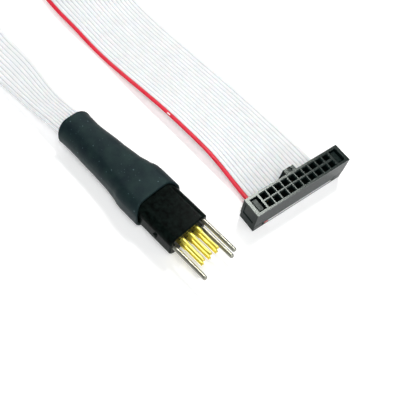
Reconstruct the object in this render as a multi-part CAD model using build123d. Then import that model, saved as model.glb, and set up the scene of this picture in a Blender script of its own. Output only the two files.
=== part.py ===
from build123d import *
import math
import os

# Six-probe programming plug on a folded 20-way ribbon cable, with a 2 x 10 socket on the
# ribbon's other end. Millimetres, +Z up. Both ends lie on a bench at z = 0, and +X is the
# way the probes point.

# ---- where the two ends lie ----
PLUG_FACE_X = 16.09     # front face of the probe head
PLUG_Y = -21.2          # the plug's centre line
SOCKET_X = 25.13        # middle of the socket's base
SOCKET_Y = 11.59
SOCKET_TURN = 81.4      # degrees, from +X to the socket's long axis

# ---- probe head ----
HEAD_WIDTH = 13.0
HEAD_THICKNESS = 8.1
HEAD_CORNER = 2.1
HEAD_LENGTH = 20.4
HEAD_EDGE = 0.3
BOOT_WALL = 1.0
HEAD_Z = BOOT_WALL + HEAD_THICKNESS / 2
NUB_BACK = 5.8          # moulding nub, behind the front face
NUB_SIZE = (0.9, 0.55, 1.6)
FIT_GAP = 0.01          # radial, around everything pressed into the head

# ---- spring probes, measured from the front face along +X ----
PROBE_PITCH = 2.54
BARREL_R = 0.68
BARREL_FRONT = 2.1
BARREL_REAR = -22.4
BORE_R = 0.55
BORE_END = -14.4
MOUTH_R = 0.52
MOUTH_LENGTH = 0.6
CUP_R = 0.45
CUP_DEPTH = 1.6
PLUNGER_R = 0.495
PLUNGER_TIP = 8.2
PLUNGER_TAIL_R = 0.53
PLUNGER_TAIL = -3.4
SHOULDER_GAP = 0.15
CROWN_DEPTH = 0.5
SPRING_WIRE_R = 0.1
SPRING_R = 0.40
SPRING_PITCH = 0.82
SPRING_END_GAP = 0.1

# ---- guide pins ----
GUIDE_SPAN = 10.16
GUIDE_PAIR = 4.06
GUIDE_R = 0.65
GUIDE_LENGTH = 11.8
GUIDE_TIP = 0.5
GUIDE_SHANK_R = 1.0
GUIDE_SHANK = 9.0
GUIDE_TAPER = 0.7        # length of the cone between shank and pin

# ---- heat-shrink boot: x, y of the middle, width, height, corner ----
BOOT_FRONT_X = 4.19
BOOT_GRIP_X = -4.6      # where it starts to narrow, just ahead of the head's rear face
BOOT_REAR = (-30.61, -22.1, 11.1, 9.4, 4.5)
BOOT_WAIST = (-16.8, -21.7, 11.9, 9.5, 4.3)
BOOT_SHOULDER = (-7.8, -21.4, 13.4, 9.8, 3.9)
BOOT_GAP = 0.03

# ---- wires between the ribbon's end and the solder cups ----
RIBBON_END_X = -18.81
WIRE_R = 0.45
STRAND_R = 0.19
STRIP_X = -9.1
SOLDER_BACK = 1.1

# ---- socket, in its own frame: u along it, v towards the ribbon ----
SOCKET_LENGTH = 33.7
SOCKET_WIDTH = 6.0
SOCKET_HEIGHT = 9.1
PIN_PITCH = 2.54
COLUMNS = 10
HOLE = 1.7
HOLE_LEAD = 0.25
HOLE_FLOOR = 2.6
CAP_PLATE = 0.8
RIBBON_GAP = 0.82
CAP_BLOCK = 2.5         # height of the cap's two end blocks
CAP_SPLIT = 0.2         # groove between an end block and the body
CAP_INSET = 0.2
BLOCK_START = 13.6
POCKET_START = 13.15
POCKET_LENGTH = 2.6
POCKET_WIDTH = 4.4
ARM = (1.5, 3.6)
ARM_TOP = 8.5
LEDGE_Z = 5.4
LEDGE = 0.35
HOOK = 0.25
KEY_WIDTH = 3.6
KEY_FOOT = 5.2          # width at its lower end
KEY_DEPTH = 1.6
KEY_TOP = 8.9
KEY_BOTTOM = 2.2
KEY_DIMPLE = (0.75, 0.3)
PANEL = (4.2, 4.6, 0.2)  # shallow moulded panel in each end face
LEAF = (0.9, 0.22)
LEAF_SPAN = 1.2
LEAF_TOP = 6.2
TINE = (0.3, 0.8)
TINE_SPAN = 0.7
TINE_BOTTOM = 0.4

# ---- ribbon ----
WAYS = 20
WAY_PITCH = 1.27
RIBBON_HALF = WAYS * WAY_PITCH / 2
RIBBON_T = 0.8
FOLD_R = 0.85           # mid-surface radius of the lengthwise fold
SQUEEZED_HALF = 8.8     # width of each folded half inside the boot
STATIONS = 44
LIFT = 9.0              # degrees that the red half stands off the bench near the socket

# The ribbon's middle line: out of the socket, over the bench, round on its edge, and back,
# folded in two, into the boot.
ROUTE = [
    (28.08, 11.14, 1.21),
    (15.79, 13.0, 1.21),
    (0.69, 14.4, 1.25),
    (-15.81, 15.1, 1.1),
    (-33.81, 15.3, 0.95),
    (-52.81, 15.8, 0.55),
    (-68.81, 16.6, 2.0),
    (-83.81, 16.6, 8.0),
    (-97.81, 13.4, 12.9),
    (-108.81, 4.3, 13.6),
    (-111.31, -8.7, 13.5),
    (-105.81, -19.8, 11.9),
    (-94.31, -25.8, 7.9),
    (-80.31, -27.8, 3.1),
    (-63.81, -27.6, 1.7),
    (-47.31, -27.0, 3.0),
    (-32.81, -26.2, 4.9),
    (-18.81, -25.9, 4.9),
]


def corner_radii(points):
    """The largest tangent arc that each corner of a route has room for."""
    radii = []
    for before, here, after in zip(points, points[1:], points[2:]):
        into = Vector(here) - Vector(before)
        out = Vector(after) - Vector(here)
        half_turn = math.radians(into.get_angle(out)) / 2
        radii.append(0.45 * min(into.length, out.length) / math.tan(half_turn))
    return radii


def rod(start, end, radius):
    """A cylinder along X."""
    return Pos((start + end) / 2, 0, 0) * Rot(0, 90, 0) * Cylinder(radius, end - start)


def turned(profile):
    """A solid of revolution about X from (x, radius) points."""
    face = make_face(Polyline(*[(x, r, 0) for x, r in profile], close=True))
    return revolve(face, Axis.X)


def boxed(low, high):
    """A box between two corners."""
    size = [b - a for a, b in zip(low, high)]
    middle = [(a + b) / 2 for a, b in zip(low, high)]
    return Pos(*middle) * Box(*size)


def at_plug(shape, y=0.0, z=0.0):
    return Pos(PLUG_FACE_X, PLUG_Y + y, HEAD_Z + z) * shape


def at_socket(shape):
    return Pos(SOCKET_X, SOCKET_Y, 0) * Rot(0, 0, SOCKET_TURN) * shape


def probe_places():
    """Side and height of each probe: upper row first, from -Y to +Y."""
    sides = [-PROBE_PITCH, 0, PROBE_PITCH]
    return [(y, z) for z in (PROBE_PITCH / 2, -PROBE_PITCH / 2) for y in sides]


def guide_places():
    side = GUIDE_SPAN / 2
    return {
        "guide_pin_single": (-side, 0),
        "guide_pin_pair_upper": (side, GUIDE_PAIR / 2),
        "guide_pin_pair_lower": (side, -GUIDE_PAIR / 2),
    }


def cross_section(x, y, z, width, height, corner):
    """A rounded rectangle standing across X."""
    plane = Plane(origin=(x, y, z), x_dir=(0, 1, 0), z_dir=(1, 0, 0))
    return plane * RectangleRounded(width, height, corner)


def make_head():
    outline = cross_section(0, 0, 0, HEAD_WIDTH, HEAD_THICKNESS, HEAD_CORNER)
    head = extrude(outline, -HEAD_LENGTH)
    head = chamfer(head.faces().sort_by(Axis.X)[-1].edges(), HEAD_EDGE)
    for y, z in probe_places():
        head -= Pos(0, y, z) * rod(-HEAD_LENGTH - 1, 1, BARREL_R + FIT_GAP)
    for y, z in guide_places().values():
        head -= Pos(0, y, z) * guide_form(1, FIT_GAP)
    nub = Pos(-NUB_BACK, -(HEAD_WIDTH + NUB_SIZE[1]) / 2 + 0.1, 0) * Box(*NUB_SIZE)
    return head + nub


def make_barrel():
    """The fixed tube of a probe: rolled mouth in front, solder cup behind."""
    step = BARREL_FRONT - MOUTH_LENGTH
    floor = BARREL_REAR + CUP_DEPTH
    return turned([
        (BARREL_REAR, BARREL_R), (BARREL_FRONT - 0.2, BARREL_R),
        (BARREL_FRONT, BARREL_R - 0.1), (BARREL_FRONT, MOUTH_R), (step, MOUTH_R),
        (step, BORE_R), (BORE_END, BORE_R), (BORE_END, 0), (floor, 0),
        (floor, CUP_R), (BARREL_REAR, CUP_R),
    ])


def make_plunger():
    """The moving contact: a shaft with a four-point crown, and a fatter captive tail."""
    shoulder = BARREL_FRONT - MOUTH_LENGTH - SHOULDER_GAP
    shaft = turned([
        (PLUNGER_TAIL, 0), (PLUNGER_TAIL, PLUNGER_TAIL_R), (shoulder, PLUNGER_TAIL_R),
        (shoulder, PLUNGER_R), (PLUNGER_TIP - 0.1, PLUNGER_R),
        (PLUNGER_TIP, PLUNGER_R - 0.08), (PLUNGER_TIP, 0),
    ])
    notch = Polyline((PLUNGER_TIP + 0.2, 0.34, 0), (PLUNGER_TIP + 0.2, -0.34, 0),
                     (PLUNGER_TIP - CROWN_DEPTH, 0, 0), close=True)
    cut = extrude(make_face(notch), 1.0, both=True)
    return shaft - cut - Rot(90, 0, 0) * cut


def make_spring():
    """A helical spring between the bore's end and the plunger's tail."""
    start = BORE_END + SPRING_WIRE_R + SPRING_END_GAP
    length = PLUNGER_TAIL - SPRING_WIRE_R - SPRING_END_GAP - start
    helix = Helix(SPRING_PITCH, length, SPRING_R)
    wire = Plane(origin=helix @ 0, z_dir=helix % 0) * RegularPolygon(SPRING_WIRE_R, 8)
    return Pos(start, 0, 0) * Rot(0, 90, 0) * sweep(wire, helix, is_frenet=True)


def guide_form(end, gap):
    """A guide pin's form out to x = end, made larger by gap: shank, cone, free pin."""
    return turned([
        (-GUIDE_SHANK, 0), (-GUIDE_SHANK, GUIDE_SHANK_R + gap),
        (-GUIDE_TAPER, GUIDE_SHANK_R + gap), (0, GUIDE_R + gap), (end, GUIDE_R + gap),
        (end, 0),
    ])


def make_guide_pin():
    """A round-nosed steel pin on a fatter shank that is pressed into the head."""
    pin = guide_form(GUIDE_LENGTH, 0)
    nose = pin.edges().filter_by(GeomType.CIRCLE).sort_by(Axis.X)[-1]
    return fillet(nose, GUIDE_TIP)


def boot_form(shrink):
    """The boot's outer form, made smaller all round by shrink; it lies on the bench."""
    sections = []
    for x, y, width, height, corner in (BOOT_REAR, BOOT_WAIST, BOOT_SHOULDER):
        sections.append(cross_section(x, y, height / 2, width - 2 * shrink,
                                      height - 2 * shrink, corner - shrink))
    width = HEAD_WIDTH + 2 * (BOOT_WALL - shrink)
    height = HEAD_THICKNESS + 2 * (BOOT_WALL - shrink)
    corner = HEAD_CORNER + BOOT_WALL - shrink
    grip = cross_section(BOOT_GRIP_X, PLUG_Y, HEAD_Z, width, height, corner)
    sections.append(grip)
    sleeve = extrude(grip, BOOT_FRONT_X - BOOT_GRIP_X)
    return loft(sections, ruled=True) + sleeve


def make_boot():
    return boot_form(0.0) - boot_form(BOOT_WALL - BOOT_GAP)


def wire_starts():
    """Where each probe's wire leaves the folded ribbon's cut end."""
    middle = ROUTE[-1][1] + SQUEEZED_HALF / 2
    low, high = HEAD_Z - FOLD_R, HEAD_Z + FOLD_R
    return [(middle + side, z) for z in (high, low) for side in (-3.2, 0.3, 3.8)]


def make_wires():
    wires, strands, joints = [], [], []
    rear = PLUG_FACE_X + BARREL_REAR
    for (y, z), (side, height) in zip(wire_starts(), probe_places()):
        cup_y, cup_z = PLUG_Y + side, HEAD_Z + height
        path = FilletPolyline((RIBBON_END_X + 0.05, y, z), (RIBBON_END_X + 3, y, z),
                              (STRIP_X - 2.5, cup_y, cup_z), (STRIP_X, cup_y, cup_z),
                              radius=3)
        start = Plane(origin=path @ 0, z_dir=(1, 0, 0))
        wires.append(sweep(start * Circle(WIRE_R), path))
        cup = Pos(0, cup_y, cup_z)
        strand = rod(STRIP_X, rear + CUP_DEPTH - 0.1, STRAND_R)
        strands.append(cup * strand)
        joint = turned([(rear - SOLDER_BACK, STRAND_R + 0.01), (rear, CUP_R + 0.15),
                        (rear, CUP_R - 0.01), (rear + CUP_DEPTH - 0.1, CUP_R - 0.01),
                        (rear + CUP_DEPTH - 0.1, STRAND_R + 0.01)])
        joints.append(cup * joint)
    return Compound(wires), Compound(strands), Compound(joints)


def hole_places():
    first = -(COLUMNS - 1) / 2 * PIN_PITCH
    columns = [first + PIN_PITCH * i for i in range(COLUMNS)]
    return [[(u, v) for u in columns] for v in (PIN_PITCH / 2, -PIN_PITCH / 2)]


def make_key():
    """The polarising key on the side of the body at y = 0, a little wider at its foot."""
    crest, foot = KEY_WIDTH / 2, KEY_FOOT / 2
    outline = make_face(Polyline((-foot, -0.1, KEY_BOTTOM), (foot, -0.1, KEY_BOTTOM),
                                 (crest, -0.1, KEY_TOP), (-crest, -0.1, KEY_TOP), close=True))
    return extrude(outline, KEY_DEPTH + 0.1, dir=(0, 1, 0))


def make_socket_body():
    half_l, half_w = SOCKET_LENGTH / 2, SOCKET_WIDTH / 2
    bottom = CAP_PLATE + RIBBON_GAP
    body = boxed((-half_l, -half_w, bottom), (half_l, half_w, SOCKET_HEIGHT))
    body += Pos(0, half_w, 0) * make_key()
    dimple_r, dimple_depth = KEY_DIMPLE
    body -= Pos(0, half_w + KEY_DEPTH / 2, KEY_TOP) * Cylinder(dimple_r, 2 * dimple_depth)
    for u, v in hole_places()[0] + hole_places()[1]:
        body -= boxed((u - HOLE / 2, v - HOLE / 2, HOLE_FLOOR),
                      (u + HOLE / 2, v + HOLE / 2, SOCKET_HEIGHT + 1))
        mouth = HOLE + 2 * HOLE_LEAD
        lead = loft([Pos(u, v, SOCKET_HEIGHT - HOLE_LEAD) * Rectangle(HOLE, HOLE),
                     Pos(u, v, SOCKET_HEIGHT) * Rectangle(mouth, mouth)])
        slot_u, slot_v = TINE_SPAN / 2 + TINE[0], TINE[1] / 2 + 0.05
        slot = boxed((u - slot_u, v - slot_v, bottom - 1), (u + slot_u, v + slot_v, HOLE_FLOOR))
        body = body - lead - slot
    for side in (-1, 1):
        body -= pocket(side, bottom)
    return body


def pocket(side, bottom):
    """What one end of the body leaves out: latch pocket, room for the cap, end panel."""
    near, far = POCKET_START, POCKET_START + POCKET_LENGTH
    half_v = POCKET_WIDTH / 2
    upper = boxed((near, -half_v, LEDGE_Z), (far, half_v, SOCKET_HEIGHT + 1))
    lower = boxed((near, -half_v, bottom - 1), (far - LEDGE, half_v, LEDGE_Z))
    end = SOCKET_LENGTH / 2
    block = boxed((BLOCK_START - CAP_SPLIT, -SOCKET_WIDTH, bottom - 1),
                  (end + 1, SOCKET_WIDTH, CAP_BLOCK + CAP_SPLIT))
    width, height, depth = PANEL
    low = CAP_BLOCK + CAP_SPLIT + 0.8
    panel = boxed((end - depth, -width / 2, low), (end + 1, width / 2, low + height))
    cut = upper + lower + block + panel
    return cut if side > 0 else Rot(0, 0, 180) * cut


def make_socket_cap():
    """Pressure plate, end blocks, and the two latch arms that hook into the body."""
    half_l = SOCKET_LENGTH / 2 - CAP_INSET
    half_w = SOCKET_WIDTH / 2
    cap = boxed((-half_l, -half_w, 0), (half_l, half_w, CAP_PLATE))
    arm_u = POCKET_START + POCKET_LENGTH / 2
    for side in (-1, 1):
        turn = Rot(0, 0, 0 if side > 0 else 180)
        block = boxed((BLOCK_START, -half_w, CAP_PLATE), (half_l, half_w, CAP_BLOCK))
        arm = boxed((arm_u - ARM[0] / 2, -ARM[1] / 2, CAP_BLOCK - 0.1),
                    (arm_u + ARM[0] / 2, ARM[1] / 2, ARM_TOP))
        hook_u = POCKET_START + POCKET_LENGTH - 0.1
        hook = extrude(make_face(Polyline(
            (arm_u, 0, LEDGE_Z + 0.02), (hook_u, 0, LEDGE_Z + 0.02),
            (hook_u, 0, LEDGE_Z + HOOK), (arm_u, 0, ARM_TOP - 0.3), close=True)),
            ARM[1] / 2, both=True)
        cap = cap + turn * block + turn * arm + turn * hook
    for u, v in hole_places()[0] + hole_places()[1]:
        half_u, half_v = TINE_SPAN / 2 + TINE[0] + 0.05, TINE[1] / 2 + 0.05
        cap -= boxed((u - half_u, v - half_v, TINE_BOTTOM - 0.1),
                     (u + half_u, v + half_v, CAP_PLATE + 1))
    return cap


def make_contact():
    """A forked contact: two spring leaves above, two tines through the ribbon below."""
    width, thick = LEAF
    base = boxed((-LEAF_SPAN / 2, -width / 2, HOLE_FLOOR),
                 (LEAF_SPAN / 2, width / 2, HOLE_FLOOR + 0.5))
    contact = base
    for side in (-1, 1):
        leaf_u = side * (LEAF_SPAN - thick) / 2
        contact += boxed((leaf_u - thick / 2, -width / 2, HOLE_FLOOR),
                         (leaf_u + thick / 2, width / 2, LEAF_TOP))
        tine_u = side * (TINE_SPAN + TINE[0]) / 2
        contact += boxed((tine_u - TINE[0] / 2, -TINE[1] / 2, TINE_BOTTOM),
                         (tine_u + TINE[0] / 2, TINE[1] / 2, HOLE_FLOOR + 0.1))
    return contact


def make_contact_row(places):
    contact = make_contact()
    return Compound([Pos(u, v, 0) * contact for u, v in places])


def smooth(value, start, end):
    """0 before start, 1 after end, and an eased step between."""
    t = min(max((value - start) / (end - start), 0.0), 1.0)
    return t * t * (3 - 2 * t)


def ribbon_state(along):
    """Tilt of the two halves, in degrees, and their width, at a length along the ribbon."""
    rise = smooth(along, 90, 146)
    fold = smooth(along, 146, 204)
    lift = LIFT * smooth(along, 8, 30) * (1 - smooth(along, 44, 84))
    red_half = 90 * rise - 90 * fold - lift
    far_half = 90 * rise + 90 * fold - 0.25 * lift
    half = RIBBON_HALF + (SQUEEZED_HALF - RIBBON_HALF) * smooth(along, 210, 238)
    return red_half, far_half, half


def ribbon_outline(state):
    """The bent strip's outline across the ribbon, as (left, up) offsets from its middle."""
    red_half, far_half, half = state
    red, far = math.radians(-red_half), math.radians(180 - far_half)
    fold = math.radians(far_half - red_half)
    outward = (red + far) / 2 + math.pi
    bend = FOLD_R * abs(fold) / 2
    upper, lower = [], []
    for offset in (-half, -1.3, 0.0, 1.3, half):
        share = max(-1.0, min(1.0, offset / bend)) if bend > 1e-6 else 0.0
        angle = outward - share * fold / 2
        run = offset - share * bend
        way = red if run < 0 else far
        left = FOLD_R * (math.cos(angle) - math.cos(outward)) + abs(run) * math.cos(way)
        up = FOLD_R * (math.sin(angle) - math.sin(outward)) + abs(run) * math.sin(way)
        normal = (-math.cos(angle), -math.sin(angle))
        upper.append((left + normal[0] * RIBBON_T / 2, up + normal[1] * RIBBON_T / 2))
        lower.append((left - normal[0] * RIBBON_T / 2, up - normal[1] * RIBBON_T / 2))
    return upper + lower[::-1]


def make_ribbon():
    path = FilletPolyline(*ROUTE, radius=corner_radii(ROUTE))
    length = path.length
    sections = []
    lowest = 99.0
    for i in range(STATIONS + 1):
        share = i / STATIONS
        place, ahead = path @ share, (path % share).normalized()
        left = Vector(0, 0, 1).cross(ahead).normalized()
        up = ahead.cross(left)
        outline = ribbon_outline(ribbon_state(share * length))
        points = [place + left * a + up * b for a, b in outline]
        lowest = min([lowest] + [p.Z for p in points])
        sections.append(Wire.make_polygon(points))
    ribbon = Solid.make_loft(sections, ruled=True)
    print("ribbon length", round(length, 1), "volume", round(ribbon.volume, 1),
          "section x length", round(2 * RIBBON_HALF * RIBBON_T * length, 1),
          "lowest", round(lowest, 2))
    return ribbon


def make_nodes():
    nodes = {"probe_head": at_plug(make_head())}
    barrel, plunger, spring = make_barrel(), make_plunger(), make_spring()
    for number, (y, z) in enumerate(probe_places(), 1):
        nodes[f"probe_barrel_{number}"] = at_plug(barrel, y, z)
        nodes[f"probe_plunger_{number}"] = at_plug(plunger, y, z)
        nodes[f"probe_spring_{number}"] = at_plug(spring, y, z)
    for name, (y, z) in guide_places().items():
        nodes[name] = at_plug(make_guide_pin(), y, z)
    nodes["heat_shrink_boot"] = make_boot()
    nodes["lead_wires"], nodes["wire_strands"], nodes["solder_joints"] = make_wires()
    nodes["socket_body"] = at_socket(make_socket_body())
    nodes["socket_cap"] = at_socket(make_socket_cap())
    ribbon_row, open_row = hole_places()
    nodes["contacts_ribbon_side"] = at_socket(make_contact_row(ribbon_row))
    nodes["contacts_open_side"] = at_socket(make_contact_row(open_row))
    nodes["ribbon_cable"] = make_ribbon()
    return nodes


print("arc radii", [round(r, 1) for r in corner_radii(ROUTE)])
os.makedirs("parts", exist_ok=True)
for name, shape in make_nodes().items():
    export_step(shape, f"parts/{name}.step")
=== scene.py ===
import math

import bmesh
import bpy
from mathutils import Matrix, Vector, noise


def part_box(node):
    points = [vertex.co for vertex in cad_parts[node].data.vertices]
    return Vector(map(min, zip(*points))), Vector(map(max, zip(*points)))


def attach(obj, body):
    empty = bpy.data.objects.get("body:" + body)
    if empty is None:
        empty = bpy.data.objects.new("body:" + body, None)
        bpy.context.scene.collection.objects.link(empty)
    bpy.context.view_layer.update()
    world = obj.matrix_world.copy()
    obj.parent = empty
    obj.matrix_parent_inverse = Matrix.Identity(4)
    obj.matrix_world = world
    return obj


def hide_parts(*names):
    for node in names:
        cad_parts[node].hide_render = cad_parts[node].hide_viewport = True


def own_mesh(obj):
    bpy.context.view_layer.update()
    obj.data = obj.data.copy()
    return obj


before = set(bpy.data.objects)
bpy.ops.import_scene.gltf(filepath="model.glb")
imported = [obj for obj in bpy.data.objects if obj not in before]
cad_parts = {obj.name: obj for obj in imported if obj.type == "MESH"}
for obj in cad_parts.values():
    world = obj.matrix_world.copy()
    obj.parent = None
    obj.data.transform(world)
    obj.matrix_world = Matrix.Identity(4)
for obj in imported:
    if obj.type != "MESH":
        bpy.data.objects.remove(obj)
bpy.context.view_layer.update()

# The looks of a programming cable: a six-probe plug on a folded ribbon, and its 2 x 10 socket.
# Lengths are millimetres up to the last step, which turns them into Blender's metres.
MM = 0.001
CABLE = "cable"
PROBES = range(1, 7)

# ---- camera (metres, degrees, millimetres of lens) ----
CAMERA_PLACE = (0.05201, -0.06764, 0.12684)
CAMERA_TURN = (29.36, -5.25, 45.75)
CAMERA_LENS = 46.6

# ---- probe springs (the plug's centre line runs along X) ----
PLUG_FACE_X = 16.09
SPRING_START = -14.3    # from the plug's face
SPRING_END = -3.5
SPRING_TURNS = 13
SPRING_R = 0.40         # to the middle of the wire
SPRING_WIRE_R = 0.08
SPRING_STEPS = 16       # stations to a turn

# ---- ribbon ----
WAYS = 20
WAY_PITCH = 1.27
RIBBON_HALF = WAYS * WAY_PITCH / 2
RIBBON_LENGTH = 256.8
LOBE = 0.43             # half thickness over a conductor
WEB = 0.12              # half thickness between two conductors
LOBE_SPOTS = (0.0, 0.07, 0.18, 0.33, 0.5, 0.67, 0.82, 0.93)  # mesh lines across one way
RIBBON_STEP = 1.25      # distance between the ribbon mesh's stations
STRAND_R = 0.15         # a conductor's bare end
STRAND_PROUD = 0.02
FOLD_R = 0.85           # radius of the lengthwise fold
SQUEEZED_HALF = 8.8     # half width inside the boot
LIFT = 9.0              # degrees by which the ribbon leans beyond the socket
FAR_LIFT = 0.25         # share of that lean in the half away from the red edge
END_PINCH = 0.45        # share of the thickness left where the cap clamps the ribbon

# spans along the ribbon, from the socket, over which its shape changes
PINCH_SPAN = (0.4, 2.0)
LEAN_SPAN = (8, 30)
LEAN_BACK_SPAN = (44, 84)
STAND_SPAN = (90, 146)
FOLD_SPAN = (146, 204)
SQUEEZE_SPAN = (210, 238)
RIBBON_ROUTE = [
    (28.16, 11.13, 1.21), (15.79, 13.0, 1.21), (0.69, 14.4, 1.25), (-15.81, 15.1, 1.1),
    (-33.81, 15.3, 0.95), (-52.81, 15.8, 0.55), (-68.81, 16.6, 2.0), (-83.81, 16.6, 8.0),
    (-97.81, 13.4, 12.9), (-108.81, 4.3, 13.6), (-111.31, -8.7, 13.5), (-105.81, -19.8, 11.9),
    (-94.31, -25.8, 7.9), (-80.31, -27.8, 3.1), (-63.81, -27.6, 1.7), (-47.31, -27.0, 3.0),
    (-32.81, -26.2, 4.9), (-18.81, -25.9, 4.9),
]
CHIP_X = (-17.1, -15.9)  # where the red edge's colour is chipped off, on the run at y > 0
CHIP_SPOTS = (1, 2)      # and the strips of the first way that it covers
GREY, RED, METAL, GROOVE_SHADE = range(4)  # the ribbon's material slots; the last is painted shade, a darker grey for the grooves between ways and the cut ends


# ---------------------------------------------------------------- camera

def make_camera():
    """The photo's own viewpoint."""
    data = bpy.data.cameras.new("camera")
    data.lens = CAMERA_LENS
    data.clip_start = 0.01
    camera = bpy.data.objects.new("camera", data)
    camera.location = CAMERA_PLACE
    camera.rotation_euler = [math.radians(angle) for angle in CAMERA_TURN]
    bpy.context.collection.objects.link(camera)
    bpy.context.scene.camera = camera


# ---------------------------------------------------------------- small helpers

def new_piece(name, bm):
    """Turns a bmesh in millimetres into a smooth object in metres that rides on the cable."""
    bmesh.ops.recalc_face_normals(bm, faces=bm.faces)
    bmesh.ops.scale(bm, vec=(MM, MM, MM), verts=bm.verts)
    mesh = bpy.data.meshes.new(name)
    bm.to_mesh(mesh)
    bm.free()
    for face in mesh.polygons:
        face.use_smooth = True
    piece = bpy.data.objects.new(name, mesh)
    bpy.context.collection.objects.link(piece)
    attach(piece, CABLE)
    return piece


def add_ring(bm, points):
    """New vertices at the points, in their order."""
    return [bm.verts.new(p) for p in points]


def join_rings(bm, first, second):
    """Quads between two closed rings of as many vertices; returns them in ring order."""
    corners = zip(first, first[1:] + first[:1], second[1:] + second[:1], second)
    return [bm.faces.new(quad) for quad in corners]


def ring_round(middle, side, up, radius, count):
    """Points of a circle of count corners in the plane of side and up."""
    turns = [2 * math.pi * i / count for i in range(count)]
    return [middle + side * (radius * math.cos(turn)) + up * (radius * math.sin(turn))
            for turn in turns]


def ribbon_axes(ahead):
    """The level direction to the left of a direction, and the one square to both."""
    left = Vector((0, 0, 1)).cross(ahead).normalized()
    return left, ahead.cross(left)


def smooth_step(value, start, end):
    """0 before start, 1 after end, and an eased step between."""
    t = min(max((value - start) / (end - start), 0.0), 1.0)
    return t * t * (3 - 2 * t)


def paint(piece, *materials):
    """Gives a piece its materials, in the order of its faces' indices."""
    for material in materials:
        piece.data.materials.append(material)


# ---------------------------------------------------------------- materials

class Shader:
    """A new material's node tree, with short ways to add and join nodes."""

    def __init__(self, name, **sockets):
        self.material = bpy.data.materials.new(name)
        self.material.use_nodes = True
        self.tree = self.material.node_tree
        self.surface = self.tree.nodes["Principled BSDF"]
        self.place = self.add("ShaderNodeTexCoord").outputs["Object"]
        for socket, value in sockets.items():
            self.surface.inputs[socket.replace("_", " ")].default_value = value

    def add(self, kind, **values):
        node = self.tree.nodes.new(kind)
        for key, value in values.items():
            setattr(node, key, value)
        return node

    def join(self, output, target):
        self.tree.links.new(output, target)

    def noise(self, size, detail=3.0, stretch=(1, 1, 1)):
        """Noise whose grains are about size millimetres across."""
        mapping = self.add("ShaderNodeMapping")
        mapping.inputs["Scale"].default_value = stretch
        self.join(self.place, mapping.inputs["Vector"])
        node = self.add("ShaderNodeTexNoise")
        node.inputs["Scale"].default_value = 1 / (size * MM)
        node.inputs["Detail"].default_value = detail
        self.join(mapping.outputs["Vector"], node.inputs["Vector"])
        return node.outputs["Fac"]

    def ramp(self, value, stops):
        """A colour or grey for each position along value."""
        node = self.add("ShaderNodeValToRGB")
        elements = node.color_ramp.elements
        while len(elements) < len(stops):
            elements.new(0.5)
        for element, (position, colour) in zip(elements, stops):
            element.position = position
            element.color = (*colour, 1)
        self.join(value, node.inputs["Fac"])
        return node.outputs["Color"]

    def between(self, value, low, high, start=0.0, end=1.0, **values):
        """Value from start to end, turned into low to high."""
        node = self.add("ShaderNodeMapRange", **values)
        limits = {"From Min": start, "From Max": end, "To Min": low, "To Max": high}
        for socket, limit in limits.items():
            node.inputs[socket].default_value = limit
        self.join(value, node.inputs["Value"])
        return node.outputs["Result"]

    def mix(self, share, first, second):
        """First where share is 0, second where it is 1; each is a colour or an output."""
        node = self.add("ShaderNodeMix", data_type="RGBA")
        self.join(share, node.inputs["Factor"])
        for key, colour in (("A", first), ("B", second)):
            socket = [s for s in node.inputs if s.name == key and s.type == "RGBA"][0]
            if isinstance(colour, tuple):
                socket.default_value = (*colour, 1)
            else:
                self.join(colour, socket)
        return [s for s in node.outputs if s.type == "RGBA"][0]

    def colour(self, output):
        self.join(output, self.surface.inputs["Base Color"])

    def roughness(self, value, low, high):
        self.join(self.between(value, low, high), self.surface.inputs["Roughness"])

    def bump(self, value, height):
        """Adds bump whose full swing is height millimetres."""
        node = self.add("ShaderNodeBump")
        node.inputs["Strength"].default_value = 1.0
        node.inputs["Distance"].default_value = height * MM
        self.join(value, node.inputs["Height"])
        if self.surface.inputs["Normal"].links:
            self.join(self.surface.inputs["Normal"].links[0].from_socket, node.inputs["Normal"])
        self.join(node.outputs["Normal"], self.surface.inputs["Normal"])

    def specks(self, spacing, size, share):
        """1 on small dots about spacing millimetres apart, of which only a share is there."""
        cells = self.add("ShaderNodeTexVoronoi")
        cells.inputs["Scale"].default_value = 1 / (spacing * MM)
        self.join(self.place, cells.inputs["Vector"])
        split = self.add("ShaderNodeSeparateColor")
        self.join(cells.outputs["Color"], split.inputs["Color"])
        dot = self.below(cells.outputs["Distance"], size / spacing)
        chosen = self.below(split.outputs["Red"], share)
        both = self.add("ShaderNodeMath", operation="MULTIPLY")
        self.join(dot, both.inputs[0])
        self.join(chosen, both.inputs[1])
        return both.outputs["Value"]

    def below(self, value, limit):
        """1 where value is less than limit, else 0."""
        node = self.add("ShaderNodeMath", operation="LESS_THAN")
        node.inputs[1].default_value = limit
        self.join(value, node.inputs[0])
        return node.outputs["Value"]


def head_plastic():
    """Smooth black moulding with faint flow marks and a few dust specks."""
    s = Shader("head_plastic", Specular_IOR_Level=0.018)
    flow = s.noise(1.3, 5)
    grain = s.noise(0.12, 2)
    base = s.ramp(flow, [(0.35, (0.0012, 0.0018, 0.0016)), (0.7, (0.0045, 0.0085, 0.0072))])
    dust = s.specks(1.1, 0.05, 0.25)
    s.colour(s.mix(dust, base, (0.035, 0.045, 0.042)))
    s.roughness(flow, 0.16, 0.26)
    s.bump(grain, 0.006)
    return s.material


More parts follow.
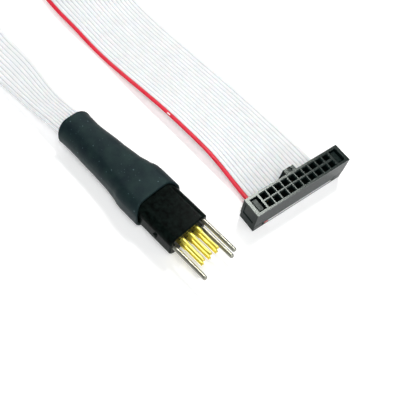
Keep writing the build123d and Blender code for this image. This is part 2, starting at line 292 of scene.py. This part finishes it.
def boot_plastic():
    """Matte shrunk tube: blue-black, softly mottled, with two sizes of dust."""
    s = Shader("boot_plastic", Specular_IOR_Level=0.18, Specular_Tint=(0.7, 1.0, 1.0, 1))
    cloud = s.noise(3.5, 4)
    grain = s.noise(0.16, 3)
    base = s.ramp(cloud, [(0.36, (0.0006, 0.004, 0.0085)), (0.66, (0.0075, 0.018, 0.0175))])
    base = s.mix(s.between(s.noise(0.55, 2), 0.0, 0.5), base, (0.009, 0.018, 0.018))
    base = s.mix(s.specks(0.9, 0.13, 0.4), base, (0.024, 0.042, 0.047))
    s.colour(s.mix(s.specks(1.7, 0.19, 0.6), base, (0.045, 0.072, 0.078)))
    s.roughness(grain, 0.42, 0.58)
    s.bump(grain, 0.012)
    s.bump(cloud, 0.05)
    return s.material


SHEEN_HEIGHTS = (8.6 * MM, 9.0 * MM)  # the socket's painted sheen, a higher specular level, rises between these heights


def socket_plastic():
    """Glass-filled black moulding with fine fibre marks, and a painted sheen: its specular level
    is higher on the open face than on the sunken and side faces, which it leaves darker.
    """
    s = Shader("socket_plastic", Specular_Tint=(0.93, 1.0, 0.94, 1))
    split = s.add("ShaderNodeSeparateXYZ")
    s.join(s.place, split.inputs["Vector"])
    # painted sheen: the specular level follows height, so lower faces read as shaded
    painted_sheen = s.between(split.outputs["Z"], 0.07, 0.28, *SHEEN_HEIGHTS)
    s.join(painted_sheen, s.surface.inputs["Specular IOR Level"])
    fibre = s.noise(0.35, 4, stretch=(1, 3, 1))
    grain = s.noise(0.09, 2)
    base = s.ramp(fibre, [(0.35, (0.0025, 0.0075, 0.007)), (0.65, (0.006, 0.013, 0.012))])
    s.colour(s.mix(s.specks(1.3, 0.06, 0.3), base, (0.07, 0.08, 0.08)))
    s.roughness(fibre, 0.17, 0.28)
    s.bump(grain, 0.006)
    return s.material


def gold(name, tint, rough):
    """Gold plate: warm colour variation, faint turning marks round the axis."""
    s = Shader(name, Metallic=1.0)
    tone = s.noise(2.0, 2)
    rings = s.noise(0.12, 2, stretch=(1, 0.05, 0.05))
    deep = tuple(c * k for c, k in zip(tint, (0.9, 0.84, 0.78)))
    s.colour(s.ramp(tone, [(0.3, deep), (0.7, tint)]))
    s.roughness(tone, rough, rough + 0.06)
    s.bump(rings, 0.0003)
    return s.material


def steel(name="pin_steel", tint=(0.31, 0.31, 0.26)):
    """Ground stainless: fine lengthwise drawing lines and slight tarnish."""
    s = Shader(name, Metallic=1.0)
    tone = s.noise(1.4, 3)
    lines = s.noise(0.12, 2, stretch=(0.04, 1, 1))
    dull = tuple(c * 0.82 for c in tint)
    s.colour(s.ramp(tone, [(0.3, dull), (0.7, tint)]))
    s.roughness(lines, 0.26, 0.34)
    s.bump(lines, 0.0003)
    return s.material


def ribbon_pvc(name, light, dark, rough):
    """Soft ribbon insulation, a little translucent, with faint scuffs along it."""
    s = Shader(name, Subsurface_Weight=0.12, Subsurface_Scale=0.0006, Specular_IOR_Level=0.3)
    cloud = s.noise(5.0, 3)
    scuff = s.noise(0.3, 3, stretch=(0.15, 1, 1))
    base = s.ramp(cloud, [(0.3, dark), (0.7, light)])
    s.colour(s.mix(s.specks(4.0, 0.1, 0.2), base, tuple(c * 0.6 for c in dark)))
    s.roughness(scuff, rough, rough + 0.15)
    s.bump(scuff, 0.01)
    return s.material


def wire_metal():
    """Bare copper, a little tarnished."""
    s = Shader("wire_ends", Metallic=1.0)
    tone = s.noise(0.15, 2)
    s.colour(s.ramp(tone, [(0.3, (0.55, 0.42, 0.33)), (0.7, (0.80, 0.68, 0.58))]))
    s.roughness(tone, 0.25, 0.45)
    return s.material


GLOW_SPAN = (0.2, 1.4)  # metres from the middle, over which the floor's own light rises


def floor_material():
    """Plain pale paper that glows a little, more so towards its far edges."""
    s = Shader("floor_paper", Emission_Color=(1, 1, 1, 1))
    cloud = s.noise(60, 2)
    s.colour(s.ramp(cloud, [(0.3, (0.93, 0.93, 0.93)), (0.7, (0.95, 0.95, 0.95))]))
    s.roughness(cloud, 0.55, 0.65)
    away = s.add("ShaderNodeVectorMath", operation="LENGTH")
    s.join(s.place, away.inputs[0])
    glow = s.between(away.outputs["Value"], 0.2, 0.5, *GLOW_SPAN,
                     interpolation_type="SMOOTHSTEP")
    s.join(glow, s.surface.inputs["Emission Strength"])
    return s.material


# ---------------------------------------------------------------- ribbon

def route_line(route):
    """Points along the smooth NURBS line whose control points are the route."""
    curve = bpy.data.curves.new("ribbon_route", "CURVE")
    curve.dimensions = "3D"
    spline = curve.splines.new("NURBS")
    spline.points.add(len(route) - 1)
    for point, place in zip(spline.points, route):
        point.co = (*place, 1)
    spline.order_u = 3
    spline.use_endpoint_u = True
    spline.resolution_u = 24
    holder = bpy.data.objects.new("ribbon_route", curve)
    mesh = bpy.data.meshes.new_from_object(holder)
    line = [v.co.copy() for v in mesh.vertices]
    bpy.data.meshes.remove(mesh)
    bpy.data.objects.remove(holder)
    bpy.data.curves.remove(curve)
    return line


def even_stations(line, step):
    """(share along, place, direction) at even distances along a line of points."""
    runs = [(b - a).length for a, b in zip(line, line[1:])]
    total = sum(runs)
    count = round(total / step)
    stations, run, passed = [], 0, 0.0
    for i in range(count + 1):
        target = total * i / count
        while run < len(runs) - 1 and passed + runs[run] < target:
            passed += runs[run]
            run += 1
        ahead = line[run + 1] - line[run]
        place = line[run] + ahead * ((target - passed) / runs[run])
        before = line[max(run - 1, 0)]
        after = line[min(run + 2, len(line) - 1)]
        stations.append((i / count, place, (after - before).normalized()))
    return stations


def ribbon_state(along):
    """Tilt of the two halves, in degrees, and their width, at a length along the ribbon."""
    rise = smooth_step(along, *STAND_SPAN)
    fold = smooth_step(along, *FOLD_SPAN)
    lift = LIFT * smooth_step(along, *LEAN_SPAN) * (1 - smooth_step(along, *LEAN_BACK_SPAN))
    red_half = 90 * rise - 90 * fold - lift
    far_half = 90 * rise + 90 * fold - FAR_LIFT * lift
    squeeze = smooth_step(along, *SQUEEZE_SPAN)
    half = RIBBON_HALF + (SQUEEZED_HALF - RIBBON_HALF) * squeeze
    return math.radians(red_half), math.radians(far_half), half


def lobe_samples():
    """(offset in ways from the red edge, half thickness) across the ribbon."""
    samples = []
    for way in range(WAYS):
        for spot in LOBE_SPOTS:
            bulge = math.sqrt(max(0.0, 1 - (2 * spot - 1) ** 2))
            samples.append((way + spot, WEB + (LOBE - WEB) * bulge))
    samples.append((WAYS, WEB))
    return samples


def across(offset, state):
    """Place and thickness direction, as (left, up), at an offset from the ribbon's middle."""
    red_half, far_half, _ = state
    red, far = -red_half, math.pi - far_half
    fold = far_half - red_half
    outward = (red + far) / 2 + math.pi
    bend = FOLD_R * abs(fold) / 2
    share = max(-1.0, min(1.0, offset / bend)) if bend > 1e-6 else 0.0
    angle = outward - share * fold / 2
    run = offset - share * bend
    way = red if run < 0 else far
    left = FOLD_R * (math.cos(angle) - math.cos(outward)) + abs(run) * math.cos(way)
    up = FOLD_R * (math.sin(angle) - math.sin(outward)) + abs(run) * math.sin(way)
    return left, up, -math.cos(angle), -math.sin(angle)


def ribbon_section(station, samples):
    """The points round the ribbon at one station: the upper side, then the lower one back."""
    share, place, ahead = station
    left, up = ribbon_axes(ahead)
    along = share * RIBBON_LENGTH
    state = ribbon_state(along)
    pinch = END_PINCH + (1 - END_PINCH) * smooth_step(along, *PINCH_SPAN)
    upper, lower = [], []
    for ways, thick in samples:
        thick *= pinch
        offset = (ways / WAYS * 2 - 1) * state[2]
        a, b, na, nb = across(offset, state)
        upper.append(place + left * (a + na * thick) + up * (b + nb * thick))
        lower.append(place + left * (a - na * thick) + up * (b - nb * thick))
    return upper + lower[::-1]


def colour_strip(faces, chipped):
    """Red on the first way, apart from a chip in it, grey on the others, and a darker grey
    painted as shade in the grooves between ways.
    """
    count, per_way = len(faces), len(LOBE_SPOTS)
    for i, face in enumerate(faces):
        red = i < per_way or i >= count - 1 - per_way
        spot = i if i < count // 2 else count - 2 - i
        in_groove_shade = spot % per_way in (0, per_way - 1) and per_way <= spot < count // 2 - 2
        red = red and not (chipped and spot in CHIP_SPOTS)
        face.material_index = RED if red else GROOVE_SHADE if in_groove_shade else GREY


def make_ribbon(materials):
    """The ribbon as one mesh on its route, with its ridges."""
    stations = even_stations(route_line(RIBBON_ROUTE), RIBBON_STEP)
    samples = lobe_samples()
    bm = bmesh.new()
    rings = [add_ring(bm, ribbon_section(station, samples)) for station in stations]
    for (_, place, _), first, second in zip(stations, rings, rings[1:]):
        chipped = CHIP_X[0] < place.x < CHIP_X[1] and place.y > 0
        colour_strip(join_rings(bm, first, second), chipped)
    cap_strip(bm, rings[0])
    cap_strip(bm, rings[-1])
    wire_ends(bm, stations[0])
    ribbon = new_piece("ribbon", bm)
    paint(ribbon, *materials)
    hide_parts("ribbon_cable")
    path = [tuple(p * MM) for _, p, _ in stations[::2]]
    if path[-1] != tuple(stations[-1][1] * MM):
        path.append(tuple(stations[-1][1] * MM))


def cap_strip(bm, ring):
    """Closes a cut end with quads between the ribbon's two faces, in the darker grey painted as
    shade.
    """
    half = len(ring) // 2
    for i in range(half - 1):
        face = bm.faces.new((ring[i], ring[i + 1], ring[-2 - i], ring[-1 - i]))
        face.material_index = GROOVE_SHADE


def wire_ends(bm, station):
    """The conductors' cut ends, a hair proud of the ribbon's end beside the socket."""
    _, place, ahead = station
    left, up = ribbon_axes(ahead)
    for way in range(WAYS):
        offset = (way + 0.5 - WAYS / 2) * WAY_PITCH
        middle = place - left * offset - ahead * STRAND_PROUD
        ring = add_ring(bm, ring_round(middle, left, up, STRAND_R, 8))
        bm.faces.new(ring).material_index = METAL


# ---------------------------------------------------------------- boot

# x, then y and z of the section's middle, its width, height and corner radius
BOOT_SECTIONS = [
    (-30.55, -22.1, 4.8, 11.4, 9.4, 4.5),
    (-29.6, -22.1, 4.75, 11.1, 9.3, 4.5),
    (-26.0, -22.05, 4.65, 10.9, 9.1, 4.4),
    (-16.8, -21.7, 4.75, 11.8, 9.4, 4.3),
    (-10.0, -21.5, 4.85, 12.6, 9.5, 4.0),
    (-6.2, -21.3, 4.95, 13.6, 9.6, 3.6),
    (-4.2, -21.2, 5.03, 14.8, 9.8, 3.6),
    (-2.5, -21.2, 5.05, 15.2, 9.9, 3.8),
    (4.15, -21.2, 5.05, 15.2, 9.9, 3.9),
]
BOOT_AROUND = 112
BOOT_STEP = 0.6
BOOT_WALL = 0.75
BOOT_FRONT_RIM = (1.5, 0.6)  # the front edge is cut shorter on top, and longer on its +Y side
BOOT_FRONT_RUN = 7.0         # how far back from the front edge its cut is felt
BOOT_REAR_RIM = (0.9, 0.7)   # the rear edge is cut longer on top and on its +Y side
BOOT_REAR_RUN = 6.0
BOOT_LUMPS = 0.008           # share by which the outside swells and sinks
BOOT_LUMP_SCALE = (0.16, 0.3)  # lumps per millimetre along it and across it
BOOT_LUMP_SHIFT = 7
BOOT_LUMP_END = 4.0          # the x at which the lumps have faded out
BOOT_LUMP_FADE = 6
CORNER_RUN = 4               # how quickly a turn leaves the flats of a rounded rectangle


def rounded(turn, width, height, corner):
    """A point on a rounded rectangle, as (side, up)."""
    across_share = max(-1.0, min(1.0, CORNER_RUN * math.cos(turn)))
    up_share = max(-1.0, min(1.0, CORNER_RUN * math.sin(turn)))
    return ((width / 2 - corner) * across_share + corner * math.cos(turn),
            (height / 2 - corner) * up_share + corner * math.sin(turn))


def boot_section(x):
    """The boot's section values at x, eased between the ones listed."""
    for first, second in zip(BOOT_SECTIONS, BOOT_SECTIONS[1:]):
        if x <= second[0]:
            share = max(0.0, (x - first[0]) / (second[0] - first[0]))
            share = 0.5 * share + 0.5 * smooth_step(share, 0, 1)
            return [a + (b - a) * share for a, b in zip(first[1:], second[1:])]
    return list(BOOT_SECTIONS[-1][1:])


def boot_ring(x, inset):
    """One ring round the boot, inset from its surface, and slanted near the cut edges."""
    rear, front = BOOT_SECTIONS[0][0], BOOT_SECTIONS[-1][0]
    near_front = smooth_step(x, front - BOOT_FRONT_RUN, front)
    near_rear = 1 - smooth_step(x, rear, rear + BOOT_REAR_RUN)
    ring = []
    for i in range(BOOT_AROUND):
        turn = 2 * math.pi * i / BOOT_AROUND
        top, far = max(0.0, math.sin(turn)), max(0.0, math.cos(turn))
        here = x + near_front * (BOOT_FRONT_RIM[1] * far * far - BOOT_FRONT_RIM[0] * top * top)
        here -= near_rear * (BOOT_REAR_RIM[0] * top * top + BOOT_REAR_RIM[1] * far * far)
        y, z, width, height, corner = boot_section(here)
        side, up = rounded(turn, width - 2 * inset, height - 2 * inset, max(corner - inset, 1))
        swell = 1.0
        if inset < BOOT_WALL / 2:
            coarse, fine = BOOT_LUMP_SCALE
            spot = Vector((here * coarse, side * fine, up * fine + BOOT_LUMP_SHIFT))
            fade = smooth_step(BOOT_LUMP_END - here, 0, BOOT_LUMP_FADE)
            swell += BOOT_LUMPS * noise.noise(spot) * fade
        ring.append((here, y + side * swell, max(z + up * swell, 0.02)))
    return ring


def boot_profile():
    """(x, inset) along the outside, round the front lip, back inside, and round the rear lip."""
    rear, front = BOOT_SECTIONS[0][0], BOOT_SECTIONS[-1][0]
    count = round((front - rear) / BOOT_STEP)
    spots = [rear + (front - rear) * i / count for i in range(count + 1)]
    outside = [(rear + 0.3, 0.0)] + [(x, 0.0) for x in spots[1:-1]] + [(front - 0.3, 0.0)]
    front_lip = [(front - 0.08, 0.1), (front, 0.3), (front, 0.5), (front - 0.15, BOOT_WALL)]
    inside = [(x, BOOT_WALL) for x in spots[-2:0:-1]]
    rear_lip = [(rear + 0.1, BOOT_WALL), (rear, 0.5), (rear, 0.3), (rear + 0.08, 0.1)]
    return outside + front_lip + inside + rear_lip


def make_boot(material):
    """The shrunk sleeve, as a tube with a wall."""
    bm = bmesh.new()
    rings = [add_ring(bm, boot_ring(x, inset)) for x, inset in boot_profile()]
    for first, second in zip(rings, rings[1:] + rings[:1]):
        join_rings(bm, first, second)
    boot = new_piece("boot", bm)
    paint(boot, material)
    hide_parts("heat_shrink_boot")


# ---------------------------------------------------------------- CAD nodes

MERGE = 0.002           # points closer than this are one
ROUNDED_FROM = 35       # degrees; sharper edges than this are rounded


def soften(node, width, material):
    """Stands in for a CAD node with its own shape, its sharp edges rounded a little."""
    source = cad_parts[node]
    bm = bmesh.new()
    bm.from_mesh(source.data)
    bmesh.ops.remove_doubles(bm, verts=bm.verts, dist=MERGE * MM)
    bmesh.ops.dissolve_limit(bm, angle_limit=math.radians(1), verts=bm.verts, edges=bm.edges)
    bmesh.ops.scale(bm, vec=(1 / MM,) * 3, verts=bm.verts)
    piece = new_piece(f"{node}_moulded", bm)
    bevel = piece.modifiers.new("rounded_edges", "BEVEL")
    bevel.width = width * MM
    bevel.segments = 2
    bevel.limit_method = "ANGLE"
    bevel.angle_limit = math.radians(ROUNDED_FROM)
    flatten = piece.modifiers.new("flat_faces", "WEIGHTED_NORMAL")
    flatten.mode = "FACE_AREA"
    flatten.weight = 100
    graph = bpy.context.evaluated_depsgraph_get()
    mesh = bpy.data.meshes.new_from_object(piece.evaluated_get(graph))
    piece.modifiers.clear()
    piece.data = mesh
    paint(piece, material)
    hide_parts(node)


def refinish(node, material):
    """Gives a CAD node a better material."""
    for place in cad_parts[node].material_slots:
        place.material = material


# ---------------------------------------------------------------- springs

def make_spring(number, material):
    """A probe's helical spring."""
    low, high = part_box(f"probe_barrel_{number}")
    y, z = [(low[i] + high[i]) / 2 / MM for i in (1, 2)]
    start, end = PLUG_FACE_X + SPRING_START, PLUG_FACE_X + SPRING_END
    first_x, run = start + SPRING_WIRE_R, end - start - 2 * SPRING_WIRE_R
    bm = bmesh.new()
    rings = []
    for i in range(SPRING_TURNS * SPRING_STEPS + 1):
        angle = 2 * math.pi * i / SPRING_STEPS
        out = Vector((0, math.cos(angle), math.sin(angle)))
        x = first_x + run * i / (SPRING_TURNS * SPRING_STEPS)
        middle = Vector((x, y, z)) + out * SPRING_R
        wire = ring_round(middle, out, Vector((1, 0, 0)), SPRING_WIRE_R, 6)
        rings.append(add_ring(bm, wire))
    for first, second in zip(rings, rings[1:]):
        join_rings(bm, first, second)
    bm.faces.new(rings[0])
    bm.faces.new(rings[-1])
    spring = new_piece(f"coil_spring_{number}", bm)
    paint(spring, material)
    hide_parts(f"probe_spring_{number}")
    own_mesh(spring)


# ---------------------------------------------------------------- stage

# name, place, size, watts, colour
LIGHTS = [
    ("softbox", (-0.116, 0.258, 0.483), 0.08, 1.4, (1.0, 0.99, 0.97)),
    ("top", (0.20, -0.14, 0.62), 0.35, 2.1, (1, 1, 1)),
    ("back_left", (-0.45, 0.30, 0.30), 0.4, 0.7, (1, 1, 1)),
    ("front_fill", (0.40, -0.45, 0.30), 0.4, 0.9, (1, 1, 1)),
    ("side_right", (0.50, 0.30, 0.30), 0.4, 0.5, (1, 1, 1)),
]
FLOOR_DROP = 0.00003    # metres below the object, so that the two never share a plane


def make_floor():
    """A wide plain floor, which is no part of the object."""
    bpy.ops.mesh.primitive_plane_add(size=4.0, location=(0, 0, -FLOOR_DROP))
    floor = bpy.context.object
    floor.name = "floor"
    paint(floor, floor_material())


def area_light(name, place, size, watts, colour):
    """A square light that faces the middle of the object."""
    data = bpy.data.lights.new(name, "AREA")
    data.shape = "RECTANGLE"
    data.size, data.size_y = size, size
    data.energy = watts
    data.color = colour
    light = bpy.data.objects.new(name, data)
    light.location = place
    light.rotation_euler = Vector(place).to_track_quat("Z", "Y").to_euler()
    bpy.context.collection.objects.link(light)


def make_world():
    """Even studio light that is bright near the horizon and dim overhead."""
    world = bpy.data.worlds.new("studio")
    world.use_nodes = True
    tree = world.node_tree
    place = tree.nodes.new("ShaderNodeTexCoord")
    split = tree.nodes.new("ShaderNodeSeparateXYZ")
    ramp = tree.nodes.new("ShaderNodeValToRGB")
    elements = ramp.color_ramp.elements
    elements[0].position, elements[0].color = 0.30, (0.96, 0.98, 1.0, 1)
    elements[1].position, elements[1].color = 0.80, (0.12, 0.13, 0.13, 1)
    tree.links.new(place.outputs["Generated"], split.inputs["Vector"])
    tree.links.new(split.outputs["Z"], ramp.inputs["Fac"])
    tree.links.new(ramp.outputs["Color"], tree.nodes["Background"].inputs["Color"])
    tree.nodes["Background"].inputs["Strength"].default_value = 0.7
    bpy.context.scene.world = world


def make_lights():
    """The world's even light and the area lights, shown without tone mapping."""
    make_world()
    for light in LIGHTS:
        area_light(*light)
    bpy.context.scene.view_settings.view_transform = "Standard"


# ---------------------------------------------------------------- everything

make_camera()
grey = ribbon_pvc("ribbon_grey", (0.79, 0.80, 0.81), (0.75, 0.76, 0.77), 0.40)
red = ribbon_pvc("ribbon_red", (0.70, 0.018, 0.045), (0.60, 0.010, 0.030), 0.30)
# painted shade: the darker grey for the ribbon's grooves and its cut ends
groove_shade = ribbon_pvc("ribbon_groove_shade", (0.52, 0.54, 0.57), (0.48, 0.50, 0.53), 0.5)
make_ribbon((grey, red, wire_metal(), groove_shade))
make_boot(boot_plastic())
moulding, housing = head_plastic(), socket_plastic()
soften("probe_head", 0.12, moulding)
soften("socket_body", 0.10, housing)
soften("socket_cap", 0.08, housing)
barrel_gold = gold("barrel_gold", (0.90, 0.78, 0.13), 0.28)
plunger_gold = gold("plunger_gold", (0.93, 0.82, 0.15), 0.26)
contact_gold = gold("contact_gold", (0.85, 0.62, 0.25), 0.25)
pin_steel = steel()
spring_steel = steel("spring_steel", (0.5, 0.5, 0.5))
for number in PROBES:
    refinish(f"probe_barrel_{number}", barrel_gold)
    refinish(f"probe_plunger_{number}", plunger_gold)
    make_spring(number, spring_steel)
for pin in ("guide_pin_single", "guide_pin_pair_upper", "guide_pin_pair_lower"):
    refinish(pin, pin_steel)
refinish("contacts_ribbon_side", contact_gold)
refinish("contacts_open_side", contact_gold)
refinish("lead_wires", grey)
refinish("wire_strands", wire_metal())
refinish("solder_joints", steel("solder", (0.7, 0.7, 0.7)))
make_floor()
make_lights()
